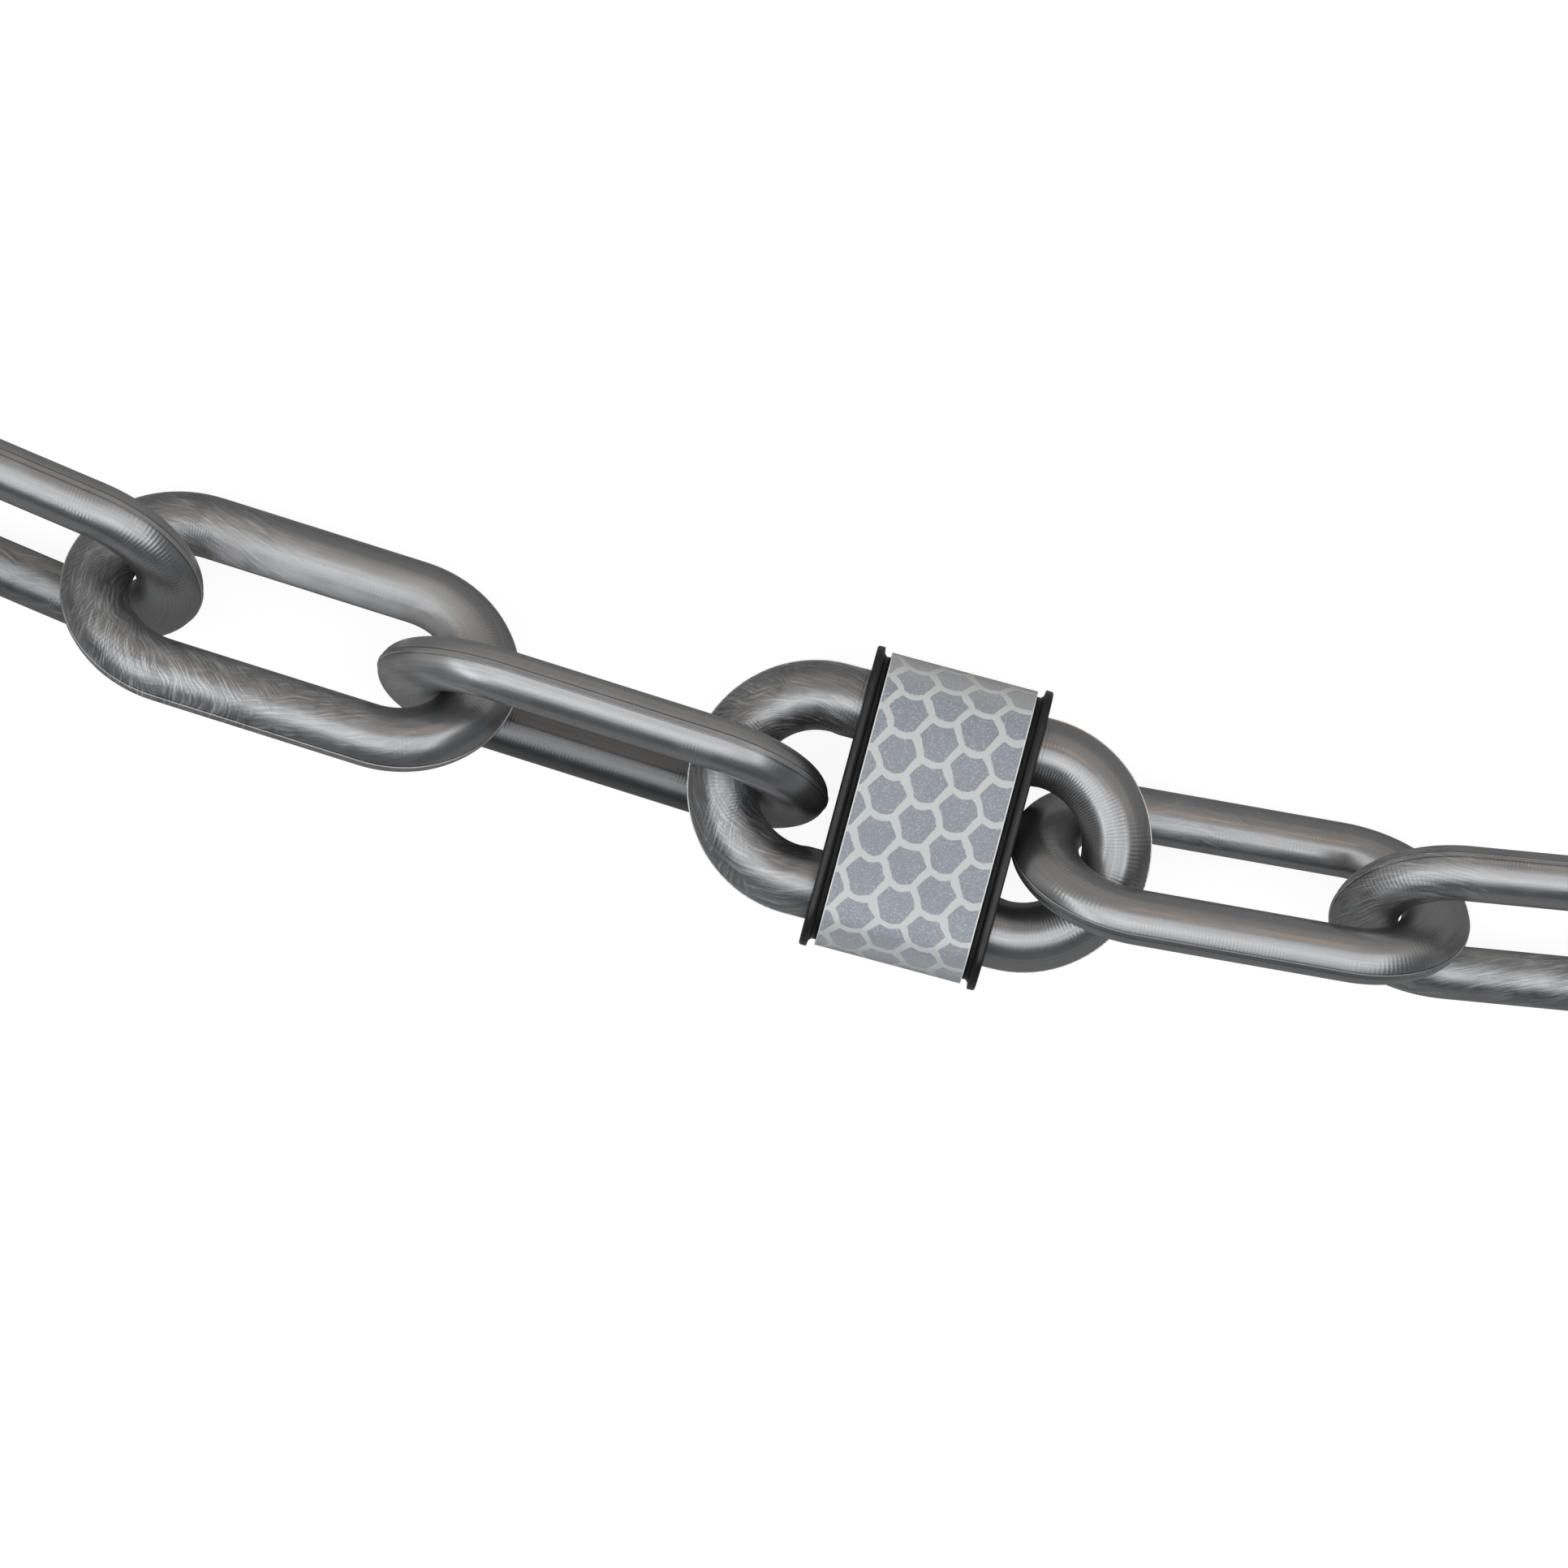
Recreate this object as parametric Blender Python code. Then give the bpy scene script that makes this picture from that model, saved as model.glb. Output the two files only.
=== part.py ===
"""Length of moulded plastic barrier chain with one reflective collar, in metres, +Z up.

The chain lies on a flat surface, its links standing alternately on one edge and the other, as the
twist of a slightly stretched chain leaves them. Each link is one ring of oval bar, threaded through
its neighbours. The collar is two half shells that clip together round one link, with a reflective
band wound round them.
"""

import math

import bmesh
import bpy
from mathutils import Matrix, Vector

# Link, measured on its bar and its centreline. The bar is oval, wider in the link's plane.
barWidth = 0.0080
barThickness = 0.0056
bendRadius = 0.0108
straightLength = 0.0248
linkGap = 0.0004

# Line that the two halves of the mould leave: a low flat ridge all round the outside, and a sharp
# one inside each straight side, which fades out before the bends.
ridgeWidth = 0.0005
ridgeHeight = 0.00012
ridgeFade = 0.0010

# Facets: round the bar, round each bend, round the collar.
barFacets = 20
bendFacets = 12
endFacets = 7
faceFacets = 7

# Collar: its length, and the room between its walls and its link.
collarLength = 0.0210
collarSideRoom = 0.00105
collarFaceRoom = 0.00155
collarEndRoom = 0.0011
collarEndRadius = 0.0054
seatGap = 0.0004
splitGap = 0.0003
rimWidth = 0.0013
rimRound = 0.00025
rimHeight = 0.0004
rimFlank = 0.0004
grooveWidth = 0.0005
shellWall = 0.0010
mouthLip = 0.0010
ribThickness = 0.0014
ribSpacing = 0.0100

# Two pins and sockets that hold the half shells together inside the link, and the room that their
# bosses leave to the link's bars and to each other.
pinReach = 0.0022
pinFacets = 12
socketWall = 0.0009
socketRoom = 0.0005
bossRoom = 0.0014

# Reflective band, wound once round the collar with its ends meeting at the back.
bandThickness = 0.0004
bandGap = 0.0002
bandSeam = 0.0005

# How each link lies: heading and lean in degrees, and how far round its own bend and its
# neighbour's the two bars meet. The collared link is flat. A falling link's far end drops until
# it meets the surface that the chain lies on.
collared = 5
falling = (6, 7, 8, 2, 1)
ways = {
    1: {"heading": -24, "lean": -20, "onNeighbour": 0, "onSelf": 0},
    2: {"heading": -23, "lean": 61, "onNeighbour": 18, "onSelf": -5},
    3: {"heading": -17.5, "lean": -36, "onNeighbour": -9, "onSelf": -1},
    4: {"heading": -17.5, "lean": 75, "onNeighbour": -12, "onSelf": 13},
    5: {"heading": -15, "lean": 0},
    6: {"heading": -10, "lean": -57, "onNeighbour": 5, "onSelf": 1},
    7: {"heading": -5.5, "lean": 57, "onNeighbour": -4, "onSelf": -8},
    8: {"heading": -2, "lean": -25, "onNeighbour": 0, "onSelf": 0},
}
steepestTilt = 60
halvings = 40

# Worked out from the sizes above.
bandRecess = rimHeight + bandThickness + bandGap
wallInset = bandRecess + shellWall
collarHeight = 2 * (bendRadius + barWidth / 2 + collarSideRoom + wallInset)
collarThickness = barThickness + 2 * (collarFaceRoom + wallInset)
collarOffset = straightLength / 2 - collarEndRoom - collarLength / 2
bossRadius = (bendRadius - barWidth / 2 - socketRoom - bossRoom / 2) / 2
socketRadius = bossRadius - socketWall
pinRadius = socketRadius - seatGap
pinSpacing = 2 * bossRadius + bossRoom
cutOver = 0.0010


def clearScene():
    for item in list(bpy.data.objects):
        bpy.data.objects.remove(item, do_unlink=True)


def makeMaterial(name, colour, roughness, metallic):
    material = bpy.data.materials.new(name)
    material.use_nodes = True
    shader = material.node_tree.nodes["Principled BSDF"]
    shader.inputs["Base Color"].default_value = (*colour, 1.0)
    shader.inputs["Roughness"].default_value = roughness
    shader.inputs["Metallic"].default_value = metallic
    return material


def placeObject(item, world, parent):
    """Puts an object at a world matrix and lets it follow the object that carries it."""
    bpy.context.scene.collection.objects.link(item)
    item.matrix_basis = world
    if parent is not None:
        bpy.context.view_layer.update()
        item.parent = parent
        item.matrix_parent_inverse = parent.matrix_world.inverted()
    return item


def makeObject(name, mesh, material, parent, world):
    mesh.materials.clear()
    mesh.materials.append(material)
    return placeObject(bpy.data.objects.new(name, mesh), world, parent)


def makeEmpty(name, parent, world):
    """An empty on a joint's axis, carried by the piece that the joint is on."""
    empty = bpy.data.objects.new(name, None)
    empty.empty_display_size = barWidth
    return placeObject(empty, world, parent)


def finishMesh(shape, name, sharpAngle=30):
    bmesh.ops.recalc_face_normals(shape, faces=shape.faces)
    mesh = bpy.data.meshes.new(name)
    shape.to_mesh(mesh)
    shape.free()
    mesh.shade_smooth()
    mesh.set_sharp_from_angle(angle=math.radians(sharpAngle))
    return mesh


# The link


def barSection():
    """Outline of the plain bar, an ellipse, as (in plane, out of plane) points."""
    turns = [2 * math.pi * step / barFacets for step in range(barFacets)]
    return [(math.cos(turn) * barWidth / 2, math.sin(turn) * barThickness / 2) for turn in turns]


def ridgedSection():
    """The bar's outline with the mould line's ridge outside, and points for the one inside."""
    plain = barSection()
    middle = barFacets // 2
    foot = ridgeWidth / 2
    edge = math.sqrt(1 - (foot / (barThickness / 2)) ** 2) * barWidth / 2
    top = edge + ridgeHeight
    outside = [(edge, -foot), (top, -foot), (top, foot), (edge, foot)]
    inside = [(-edge, foot), plain[middle], (-edge, -foot)]
    return outside + plain[1:middle] + inside + plain[middle + 1 :]


def barReach(inPlane, outOfPlane):
    """How far the bar's surface lies from its centre, along a direction given in its section."""
    return math.hypot(inPlane * barWidth / 2, outOfPlane * barThickness / 2)


def drawStraight(shape, edges, lengths, direction):
    """Draws the section along a straight side in steps, and returns its last loop of edges."""
    for length in lengths:
        drawn = bmesh.ops.extrude_edge_only(shape, edges=edges)["geom"]
        points = [item for item in drawn if isinstance(item, bmesh.types.BMVert)]
        bmesh.ops.translate(shape, verts=points, vec=(direction * length, 0, 0))
        rails = [item for item in drawn if isinstance(item, bmesh.types.BMEdge)]
        edges = [edge for edge in rails if all(point in points for point in edge.verts)]
    return edges


def buildLinkMesh():
    """Spins the section round each bend, draws it along each straight side and closes the ring."""
    half = straightLength / 2
    section = ridgedSection()
    steps = [ridgeFade, straightLength - 2 * ridgeFade, ridgeFade]
    shape = bmesh.new()
    ring = [shape.verts.new((half, -bendRadius - across, through)) for across, through in section]
    first = [shape.edges.new((ring[i], ring[(i + 1) % len(ring)])) for i in range(len(ring))]
    edges = list(first)
    for side in (1, -1):
        spun = bmesh.ops.spin(
            shape,
            geom=edges,
            cent=(side * half, 0, 0),
            axis=(0, 0, 1),
            angle=math.pi,
            steps=bendFacets,
        )
        edges = [item for item in spun["geom_last"] if isinstance(item, bmesh.types.BMEdge)]
        edges = drawStraight(shape, edges, steps if side == 1 else steps[:2], -side)
    bmesh.ops.bridge_loops(shape, edges=first + edges)
    raiseInnerRidge(shape)
    return finishMesh(shape, "link")


def raiseInnerRidge(shape):
    """Lifts the innermost point of the bar along each straight side, clear of the bends."""
    reach = straightLength / 2 - ridgeFade
    innermost = bendRadius - barWidth / 2
    for point in shape.verts:
        along, across, through = point.co
        if abs(along) < reach + ridgeHeight and abs(abs(across) - innermost) < ridgeHeight / 2:
            point.co.y -= math.copysign(ridgeHeight, across)


# How the links lie


def linkTurn(way, tilt=0.0):
    heading = Matrix.Rotation(math.radians(way["heading"]), 4, "Z")
    lean = Matrix.Rotation(math.radians(way["lean"]), 4, "X")
    return heading @ Matrix.Rotation(tilt, 4, "Y") @ lean


def bendPoint(world, side, degrees):
    """Centreline point on a link's bend, with the bar's direction and the bend's outward normal."""
    turn = math.radians(degrees)
    outward = Vector((side * math.cos(turn), math.sin(turn), 0))
    along = Vector((-side * math.sin(turn), math.cos(turn), 0))
    point = world @ (Vector((side * straightLength / 2, 0, 0)) + outward * bendRadius)
    spin = world.to_3x3()
    return point, spin @ along, spin @ outward


def seatLink(carrier, carrierSide, way, tilt=0.0):
    """World matrix of a link whose bend bears on its carrier's bend, bar on bar."""
    world = linkTurn(way, tilt)
    point, along, outward = bendPoint(carrier, carrierSide, way["onNeighbour"])
    ownPoint, ownAlong, ownOutward = bendPoint(world, -carrierSide, way["onSelf"])
    normal = along.cross(ownAlong).normalized()
    if normal.dot(outward) < 0:
        normal.negate()
    reach = barReach(normal.dot(outward), normal.dot(carrier.col[2].xyz))
    ownReach = barReach(normal.dot(ownOutward), normal.dot(world.col[2].xyz))
    centre = point - normal * (reach + linkGap + ownReach) - ownPoint
    return Matrix.Translation(centre) @ world


def lowestPoint(world):
    """Height of a link's lowest point, from its two bends."""
    upright = world.col[2].z
    slope = math.sqrt(max(0.0, 1 - upright**2))
    depth = bendRadius * slope + barReach(slope, upright)
    return min((world @ Vector((side * straightLength / 2, 0, 0))).z for side in (1, -1)) - depth


def dropLink(carrier, side, way, floor):
    """Tilts a link until its far end meets the surface that the chain lies on."""
    low, high = 0.0, math.radians(steepestTilt)
    for _ in range(halvings):
        tilt = (low + high) / 2
        if lowestPoint(seatLink(carrier, side, way, side * tilt)) > floor:
            low = tilt
        else:
            high = tilt
    return seatLink(carrier, side, way, side * low)


def layChain():
    """World matrix of every link, worked outwards from the collared one, with no height set yet."""
    laid = {collared: linkTurn(ways[collared])}
    order = sorted((number for number in ways if number != collared), key=lambda n: abs(n - collared))
    for number in order:
        if number not in falling:
            side = 1 if number > collared else -1
            laid[number] = seatLink(laid[number - side], side, ways[number])
    floor = min(lowestPoint(world) for world in laid.values())
    for number in falling:
        side = 1 if number > collared else -1
        laid[number] = dropLink(laid[number - side], side, ways[number], floor)
    return laid


# The collar


def quarterOutline(inset, start=0.0):
    """A quarter of the collar's outline, set in by a distance, from its end round to mid face.

    The end is a round arc and the face a shallow one tangent to it, as (across, through) points.
    """
    middle = collarHeight / 2 - collarEndRadius
    rise = collarThickness / 2
    faceRadius = (middle**2 + rise**2 - collarEndRadius**2) / (2 * (rise - collarEndRadius))
    swing = math.asin(middle / (faceRadius - collarEndRadius))
    radius = collarEndRadius - inset
    first = math.asin(start / radius)
    last = math.pi / 2 - swing
    points = []
    for step in range(endFacets + 1):
        turn = first + (last - first) * step / endFacets
        points.append((middle + radius * math.cos(turn), radius * math.sin(turn)))
    for step in range(1, faceFacets + 1):
        turn = swing * (1 - step / faceFacets)
        across = (faceRadius - inset) * math.sin(turn)
        points.append((across, (faceRadius - inset) * math.cos(turn) - faceRadius + rise))
    return points


def halfOutline(inset):
    """Outline of the front half shell, from one split edge over the face to the other."""
    quarter = quarterOutline(inset, splitGap / 2)
    return quarter + [(-across, through) for across, through in reversed(quarter[:-1])]


def loft(shape, rings):
    """Skins a row of rings of (x, y, z) points, and caps the first and the last."""
    loops = [[shape.verts.new(point) for point in ring] for ring in rings]
    for near, far in zip(loops, loops[1:]):
        for i in range(len(near)):
            j = (i + 1) % len(near)
            shape.faces.new((near[i], near[j], far[j], far[i]))
    shape.faces.new(reversed(loops[0]))
    shape.faces.new(loops[-1])


def shellStations():
    """Places along the collar and how far its outline is set in there: rim, groove, band seat."""
    end = collarLength / 2
    crest = end - rimWidth + rimFlank
    bevel = rimRound * (1 - math.sqrt(0.5))
    hollow = 1 - math.sqrt(0.5)
    half = [
        (end, rimRound),
        (end - bevel, bevel),
        (end - rimRound, 0.0),
        (crest, 0.0),
        (crest - rimFlank * hollow, bandRecess * (1 - hollow)),
        (crest - rimFlank, bandRecess),
    ]
    return [(-along, inset) for along, inset in half] + list(reversed(half))


def buildShell():
    shape = bmesh.new()
    loft(shape, [[(x, y, z) for y, z in halfOutline(inset)] for x, inset in shellStations()])
    return finishMesh(shape, "half_shell")


def pocketRing(along, inset):
    """Cross-section of a hollow, from a set-in half outline down past the split."""
    half = halfOutline(inset)
    outline = [(half[0][0], -cutOver)] + half + [(half[-1][0], -cutOver)]
    return [(along, across, through) for across, through in outline]


def buildPockets():
    """The shell's hollow: a middle chamber between two ribs, and two mouths that flare outwards."""
    end = collarLength / 2
    inner = (ribSpacing - ribThickness) / 2
    outer = (ribSpacing + ribThickness) / 2
    mouth = [(end + cutOver, mouthLip), (end, mouthLip), (end - rimWidth, wallInset), (outer, wallInset)]
    shape = bmesh.new()
    loft(shape, [pocketRing(-along, inset) for along, inset in mouth])
    loft(shape, [pocketRing(along, wallInset) for along in (-inner, inner)])
    loft(shape, [pocketRing(along, inset) for along, inset in reversed(mouth)])
    return finishMesh(shape, "pockets")


def buildChannels():
    """Room for the link's two straight sides, which the ribs close round with a small gap."""
    end = collarLength / 2 + cutOver
    wide = 1 + 2 * seatGap / barWidth
    thick = 1 + 2 * seatGap / barThickness
    shape = bmesh.new()
    for side in (-1, 1):
        section = [(side * bendRadius + y * wide, z * thick) for y, z in barSection()]
        loft(shape, [[(x, y, z) for y, z in section] for x in (-end, end)])
    return finishMesh(shape, "channels")


def buildPosts(radius, low, high):
    """A pair of round posts that stand through the link, one behind the other across it."""
    shape = bmesh.new()
    for side in (-1, 1):
        ring = []
        for step in range(pinFacets):
            turn = 2 * math.pi * step / pinFacets
            ring.append((radius * math.cos(turn), side * pinSpacing / 2 + radius * math.sin(turn)))
        loft(shape, [[(x, y, z) for x, y in ring] for z in (low, high)])
    return finishMesh(shape, "posts")


def buildBand():
    """A strip wound once round the seat between the rims, its two ends meeting at the back."""
    outer = quarterOutline(rimHeight)
    inner = quarterOutline(rimHeight + bandThickness)
    reach = collarLength / 2 - rimWidth - grooveWidth
    shape = bmesh.new()
    rings = []
    for (outY, outZ), (inY, inZ) in zip(bandPath(outer), bandPath(inner)):
        rings.append([(-reach, outY, outZ), (reach, outY, outZ), (reach, inY, inZ), (-reach, inY, inZ)])
    loft(shape, rings)
    return finishMesh(shape, "band")


def bandPath(quarter):
    """Carries a quarter outline all the way round, leaving the seam open at mid back."""
    back = [(y, -z) for y, z in reversed(quarter[1:])]
    back[0] = (bandSeam / 2, back[0][1])
    right = back + quarter[:-1]
    left = [(-y, z) for y, z in reversed(right)]
    return right + [quarter[-1]] + left


def cutWith(piece, tool, operation):
    """Adds an exact Boolean with a hidden tool that stands in the same place."""
    tool.hide_render = True
    tool.display_type = "WIRE"
    modifier = piece.modifiers.new(tool.name, "BOOLEAN")
    modifier.operation = operation
    modifier.object = tool
    modifier.solver = "EXACT"


def addCollar(carrier, world, blackPlastic, reflective):
    place = world @ Matrix.Translation((collarOffset, 0, 0))
    runner = makeEmpty("collar_slide", carrier, place)
    half = splitGap / 2
    root = collarThickness / 2 - bandRecess - shellWall / 2
    shellMesh = buildShell()
    tools = {
        "pockets": buildPockets(),
        "channels": buildChannels(),
        "bosses": buildPosts(bossRadius, half, root),
        "sockets": buildPosts(socketRadius, half - cutOver, pinReach + seatGap),
        "pins": buildPosts(pinRadius, -pinReach, root),
    }
    turns = {"front": Matrix.Identity(4), "back": Matrix.Rotation(math.pi, 4, "X")}
    for side, turn in turns.items():
        shell = makeObject(f"collar_{side}_shell", shellMesh, blackPlastic, runner, place @ turn)
        last = ("sockets", "DIFFERENCE") if side == "front" else ("pins", "UNION")
        steps = [("pockets", "DIFFERENCE"), ("bosses", "UNION"), ("channels", "DIFFERENCE"), last]
        for name, operation in steps:
            tool = makeObject(f"{side}_{name}", tools[name], blackPlastic, runner, place @ turn)
            cutWith(shell, tool, operation)
    makeObject("reflective_band", buildBand(), reflective, runner, place)


# The whole chain


def addLinks(laid, linkMesh, greyPlastic):
    """Each link hangs below an empty whose Z axis is the axis that the link swings round.

    The axis passes through the middle of the bar that carries the link, square to the link's own
    plane, so that the link's bend slides round the bar.
    """
    links = {collared: makeObject(f"link_{collared}", linkMesh, greyPlastic, None, laid[collared])}
    for number in sorted(laid, key=lambda n: abs(n - collared))[1:]:
        side = 1 if number > collared else -1
        point, _, _ = bendPoint(laid[number - side], side, ways[number]["onNeighbour"])
        axis = Matrix.Translation(point) @ laid[number].to_3x3().to_4x4()
        hinge = makeEmpty(f"link_{number}_hinge", links[number - side], axis)
        links[number] = makeObject(f"link_{number}", linkMesh, greyPlastic, hinge, laid[number])
    return links


def centreOnSurface(laid, linkMesh):
    """Shifts the chain so that its lowest point is at height zero and its outline is centred."""
    corners = [laid[number] @ vertex.co for number in laid for vertex in linkMesh.vertices]
    middleX = (min(point.x for point in corners) + max(point.x for point in corners)) / 2
    middleY = (min(point.y for point in corners) + max(point.y for point in corners)) / 2
    floor = min(point.z for point in corners)
    shift = Matrix.Translation((-middleX, -middleY, -floor))
    return {number: shift @ world for number, world in laid.items()}


def main():
    clearScene()
    greyPlastic = makeMaterial("silver_grey_plastic", (0.30, 0.30, 0.31), 0.38, 0.35)
    blackPlastic = makeMaterial("black_plastic", (0.02, 0.02, 0.022), 0.45, 0.0)
    reflective = makeMaterial("reflective_sheet", (0.42, 0.46, 0.50), 0.30, 0.2)
    linkMesh = buildLinkMesh()
    laid = centreOnSurface(layChain(), linkMesh)
    links = addLinks(laid, linkMesh, greyPlastic)
    addCollar(links[collared], laid[collared], blackPlastic, reflective)


main()
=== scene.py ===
import math

import bmesh
import bpy
import numpy as np
from mathutils import Matrix, Vector


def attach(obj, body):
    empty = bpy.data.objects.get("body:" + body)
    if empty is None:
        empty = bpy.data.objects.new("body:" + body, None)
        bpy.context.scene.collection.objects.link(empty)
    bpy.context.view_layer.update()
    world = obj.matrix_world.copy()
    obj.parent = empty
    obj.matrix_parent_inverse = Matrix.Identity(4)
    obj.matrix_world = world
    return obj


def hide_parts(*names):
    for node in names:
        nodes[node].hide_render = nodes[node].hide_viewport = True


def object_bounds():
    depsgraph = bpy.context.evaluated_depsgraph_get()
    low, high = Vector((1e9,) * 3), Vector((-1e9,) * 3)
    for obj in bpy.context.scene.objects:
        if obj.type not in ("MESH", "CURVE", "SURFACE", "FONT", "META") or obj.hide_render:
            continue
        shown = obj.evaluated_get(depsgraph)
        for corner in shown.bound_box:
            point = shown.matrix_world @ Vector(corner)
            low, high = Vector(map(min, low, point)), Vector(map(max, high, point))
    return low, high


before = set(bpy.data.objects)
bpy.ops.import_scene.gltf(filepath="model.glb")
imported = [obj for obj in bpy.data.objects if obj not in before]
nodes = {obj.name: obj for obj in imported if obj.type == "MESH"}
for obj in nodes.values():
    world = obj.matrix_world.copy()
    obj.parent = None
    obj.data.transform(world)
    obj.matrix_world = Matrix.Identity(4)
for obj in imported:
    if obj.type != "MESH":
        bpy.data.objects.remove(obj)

cadLow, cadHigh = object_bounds()
collared = "link_5"  # the link that wears the collar
sharpAngle = 35      # degrees between two faces, past which their edge stays sharp


# Small helpers for materials

def newMaterial(name):
    material = bpy.data.materials.new(name)
    material.use_nodes = True
    tree = material.node_tree
    tree.nodes.clear()
    output = tree.nodes.new("ShaderNodeOutputMaterial")
    shader = tree.nodes.new("ShaderNodeBsdfPrincipled")
    tree.links.new(shader.outputs["BSDF"], output.inputs["Surface"])
    return material, tree, shader


def addNode(tree, kind, values=None, **settings):
    # values feeds inputs by name or number, each with a plain value or another node's socket
    made = tree.nodes.new(kind)
    for key, value in settings.items():
        setattr(made, key, value)
    for key, value in (values or {}).items():
        if isinstance(value, bpy.types.NodeSocket):
            tree.links.new(value, made.inputs[key])
        else:
            made.inputs[key].default_value = value
    return made


def calc(tree, operation, first, second=None, third=None):
    given = {0: first, 1: second, 2: third}
    given = {key: value for key, value in given.items() if value is not None}
    return addNode(tree, "ShaderNodeMath", given, operation=operation).outputs[0]


def gather(tree, total, value, factor, middle=0.5):
    # adds a value's distance from its middle to the total, times the factor
    return calc(tree, "MULTIPLY_ADD", calc(tree, "SUBTRACT", value, middle), factor, total)


def ramp(tree, value, low, high, fromZero=0.0, toOne=1.0):
    # eases a value from fromZero at low to toOne at high, and holds it outside
    given = {"Value": value, "From Min": low, "From Max": high, "To Min": fromZero, "To Max": toOne}
    made = addNode(tree, "ShaderNodeMapRange", given, interpolation_type="SMOOTHSTEP")
    return made.outputs["Result"]


def stripe(tree, value, rise, full, ebb, end):
    # 1 from full to ebb, and 0 before rise and after end
    return calc(tree, "MULTIPLY", ramp(tree, value, rise, full), ramp(tree, value, end, ebb))


def blendColours(tree, amount, first, second):
    made = addNode(tree, "ShaderNodeMix", {"Factor": amount}, data_type="RGBA")
    for socket, value in zip((made.inputs[6], made.inputs[7]), (first, second)):
        if isinstance(value, bpy.types.NodeSocket):
            tree.links.new(value, socket)
        else:
            socket.default_value = (*value, 1)
    return made.outputs[2]


def addBump(tree, shader, height, distance, strength=1.0):
    given = {"Height": height, "Strength": strength, "Distance": distance}
    tree.links.new(addNode(tree, "ShaderNodeBump", given).outputs[0], shader.inputs["Normal"])


def splitVector(tree, vector):
    return addNode(tree, "ShaderNodeSeparateXYZ", {0: vector}).outputs


def attributeVector(tree, name):
    return addNode(tree, "ShaderNodeAttribute", attribute_name=name).outputs["Vector"]


# Where a link lies, worked out from its CAD node

def linkPlace(name):
    mesh = nodes[name].data
    points = np.empty(len(mesh.vertices) * 3)
    mesh.vertices.foreach_get("co", points)
    points = points.reshape(-1, 3)
    flat, wide, length = np.linalg.eigh(np.cov(points.T))[1].T  # from the thinnest way to the longest
    length = length * math.copysign(1, length[0])
    flat = flat * math.copysign(1, flat[2])
    turn = np.array([length, np.cross(flat, length), flat])
    local = points @ turn.T
    low, high = local.min(0), local.max(0)
    place = Matrix.Translation(Vector(turn.T @ (low + high) / 2))
    return place @ Matrix(turn.T.tolist()).to_4x4(), Vector(high - low)


def extentsIn(name, place):
    # lowest and highest corner of a CAD node, seen in the frame of a link
    back = place.inverted()
    points = [back @ vertex.co for vertex in nodes[name].data.vertices]
    low = Vector([min(point[axis] for point in points) for axis in range(3)])
    high = Vector([max(point[axis] for point in points) for axis in range(3)])
    return low, high


def finishPiece(name, shape, place, material, body, standsFor):
    bmesh.ops.recalc_face_normals(shape, faces=shape.faces)
    mesh = bpy.data.meshes.new(name)
    shape.to_mesh(mesh)
    shape.free()
    mesh.transform(place)
    mesh.shade_smooth()
    mesh.set_sharp_from_angle(angle=math.radians(sharpAngle))
    mesh.materials.append(material)
    piece = bpy.data.objects.new(name, mesh)
    bpy.context.scene.collection.objects.link(piece)
    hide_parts(standsFor)
    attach(piece, body)
    return piece


# The links

linkShape = {
    "barWidth": 0.0080,        # in the link's own plane
    # depth across that plane, and how far the link is raised to stay above the ground with it;
    # the other links keep the CAD link's depth
    "deeperBars": {2: (0.0060, 0.00004), 3: (0.0060, 0.0), 4: (0.0060, 0.0)},
    "ridgeWidth": 0.0005,      # line that the two halves of the mould leave
    "ridgeTop": 0.8,           # width of its top, as a share of that
    "ridgeHeight": 0.00012,
    "ridgeFade": 0.0010,       # how far from each bend the inner ridge stops
    "inside": 0.00002,         # how far it stays inside the CAD link's facets
    "margin": 0.01,            # share of a length, to tell which points lie on the ridge
    "edgeTurn": 11,            # degrees; the two round sides meet in a blunt edge at the mould line
    "sideCurve": 1.5,          # above 1 they're flatter near that edge and rounder on top
    "barFacets": 60,
    "bendFacets": 44,
    "straightFacets": 20,
}

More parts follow.
